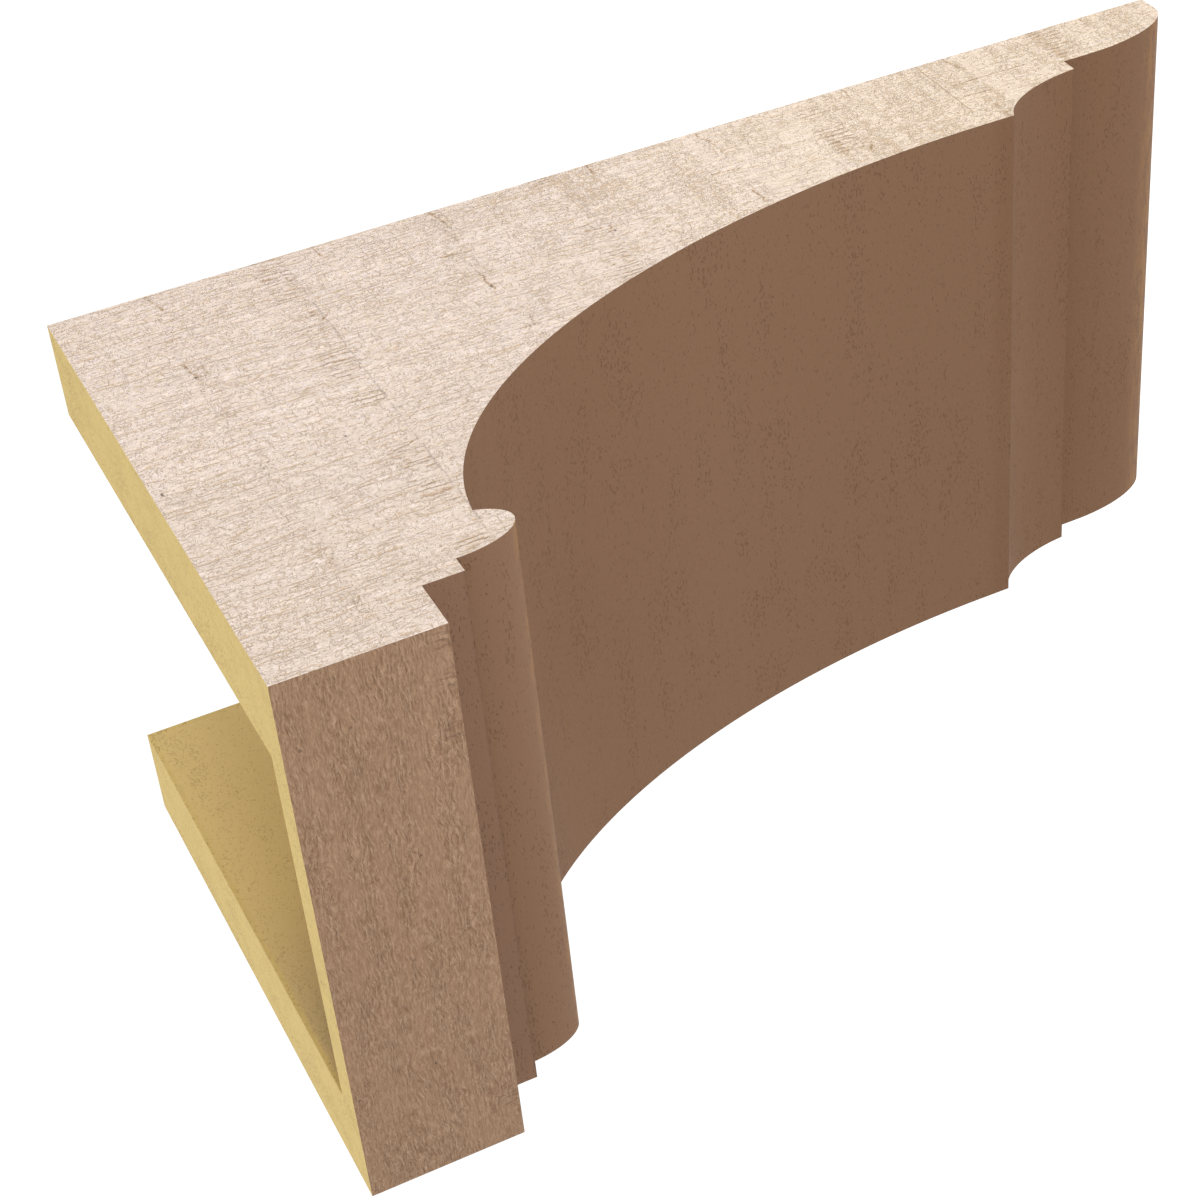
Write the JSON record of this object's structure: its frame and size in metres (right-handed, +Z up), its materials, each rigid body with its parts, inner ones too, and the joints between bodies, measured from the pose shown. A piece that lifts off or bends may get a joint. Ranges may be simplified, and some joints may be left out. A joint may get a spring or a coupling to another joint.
{
  "type": "polyurethane corbel",
  "caption": "Hollow moulded corbel with a fascia, bead, deep cove and small lower moulding, open at the top and back, set on a wall under a shelf or eave.",
  "frame": {"origin": "centre of the solid foot's flat back face, on the wall plane and the corbel's middle", "axes": "+Z up, +Y into the wall so that the corbel juts out towards -Y, +X across its width"},
  "size_m": [0.1524, 0.1524, 0.3048],
  "materials": {
    "painted_foam": "rough-sawn moulded skin painted tan, with bare yellow foam on the top rim, the back and inside the hollow"
  },
  "bodies": {
    "root": {"corbel": "painted_foam"}
  },
  "joints": []
}
